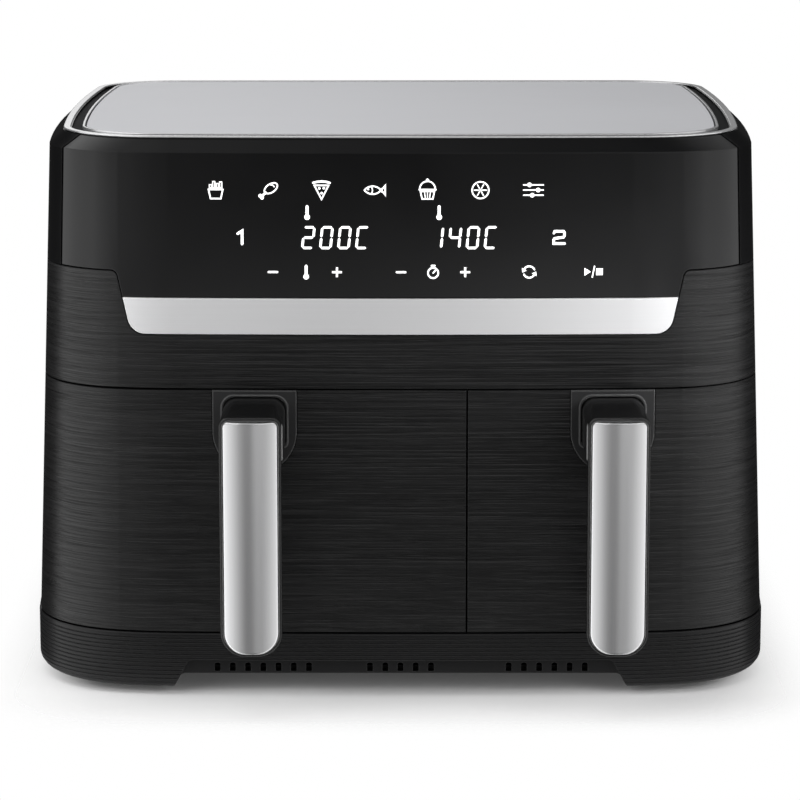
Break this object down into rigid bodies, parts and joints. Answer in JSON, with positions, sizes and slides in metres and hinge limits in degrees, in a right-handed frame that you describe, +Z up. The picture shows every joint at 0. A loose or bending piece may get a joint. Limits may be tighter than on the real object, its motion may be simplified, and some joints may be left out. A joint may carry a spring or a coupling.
{
  "type": "air fryer",
  "caption": "Countertop air fryer with a wide and a narrow pull-out drawer, upright handles, a touch panel across the upper front and a ribbed base.",
  "frame": {"origin": "middle of the overall footprint, on the surface that the feet stand on", "axes": "+Z up, the front with its handles towards -Y, +X to the right seen from the front"},
  "size_m": [0.3924, 0.408, 0.2878],
  "materials": {
    "black_textured": "fine horizontal lines, satin",
    "black_satin": "smooth satin",
    "black_gloss": "polished",
    "silver_strip": "brushed along its length",
    "bright_trim": "polished",
    "grey_top": "satin",
    "rubber": "matte",
    "bowl_coat": "non-stick coat",
    "sheet_steel": "pressed sheet",
    "heater_tube": "oxidised",
    "moulding": "plain moulding",
    "circuit_board": "solder mask",
    "display": "window",
    "motor_case": "plain",
    "bush_bronze": "sintered",
    "steel": "turned",
    "fan_metal": "pressed",
    "screw_steel": "zinc plated"
  },
  "bodies": {
    "chassis": {"base_pan": "black_satin", "rubber_feet": "rubber", "base_screws": "screw_steel", "wrap_housing": "black_textured", "front_fascia": "black_textured", "control_panel": "black_gloss", "trim_strip": "silver_strip", "upper_housing": "black_satin", "panel_carrier": "moulding", "top_deck": "black_satin", "top_ring": "bright_trim", "top_plate_rim": "bright_trim", "top_plate": "grey_top", "rear_grille": "black_satin", "rear_spacers": "black_satin", "cord_gland": "rubber", "control_board": "circuit_board", "display_modules": "display", "power_board": "circuit_board", "bay_frame": "black_satin", "mid_deck": "moulding", "exhaust_duct": "sheet_steel", "drawer_sensors": "moulding", "heat_probes": "steel", "drawer_rails": "sheet_steel", "reflectors": "sheet_steel", "heaters": "heater_tube", "heater_guards": "sheet_steel", "motors": "motor_case", "motor_bushes": "bush_bronze", "left_cavity": "sheet_steel", "right_cavity": "sheet_steel"},
    "left_drawer": {"left_drawer_front": "black_textured", "left_drawer_liner": "moulding", "left_bowl": "bowl_coat", "left_bowl_bracket": "moulding", "left_drawer_screws": "screw_steel", "left_handle_shield": "black_satin", "left_handle_core": "black_satin", "left_handle_cover": "silver_strip"},
    "left_plate": {"left_crisper_plate": "bowl_coat", "left_plate_bumpers": "rubber"},
    "left_rotor": {"left_motor_shaft": "steel", "left_fan_wheel": "fan_metal", "left_cooling_fan": "moulding"},
    "right_drawer": {"right_drawer_front": "black_textured", "right_drawer_liner": "moulding", "right_bowl": "bowl_coat", "right_bowl_bracket": "moulding", "right_drawer_screws": "screw_steel", "right_handle_shield": "black_satin", "right_handle_core": "black_satin", "right_handle_cover": "silver_strip"},
    "right_plate": {"right_crisper_plate": "bowl_coat", "right_plate_bumpers": "rubber"},
    "right_rotor": {"right_motor_shaft": "steel", "right_fan_wheel": "fan_metal", "right_cooling_fan": "moulding"}
  },
  "joints": [
    {"name": "left_drawer_slide", "type": "slide", "parent": "chassis", "child": "left_drawer", "axis": [0, -1, 0], "range_m": [0, 0.29]},
    {"name": "left_plate_lift", "type": "slide", "parent": "left_drawer", "child": "left_plate", "axis": [0, 0, 1], "range_m": [0, 0.104]},
    {"name": "left_fan_spin", "type": "hinge", "parent": "chassis", "child": "left_rotor", "pos_m": [-0.0743, 0.00625, 0.19], "axis": [0, 0, 1], "continuous": true},
    {"name": "right_drawer_slide", "type": "slide", "parent": "chassis", "child": "right_drawer", "axis": [0, -1, 0], "range_m": [0, 0.29]},
    {"name": "right_plate_lift", "type": "slide", "parent": "right_drawer", "child": "right_plate", "axis": [0, 0, 1], "range_m": [0, 0.104]},
    {"name": "right_fan_spin", "type": "hinge", "parent": "chassis", "child": "right_rotor", "pos_m": [0.1081, 0.00625, 0.19], "axis": [0, 0, 1], "continuous": true}
  ]
}
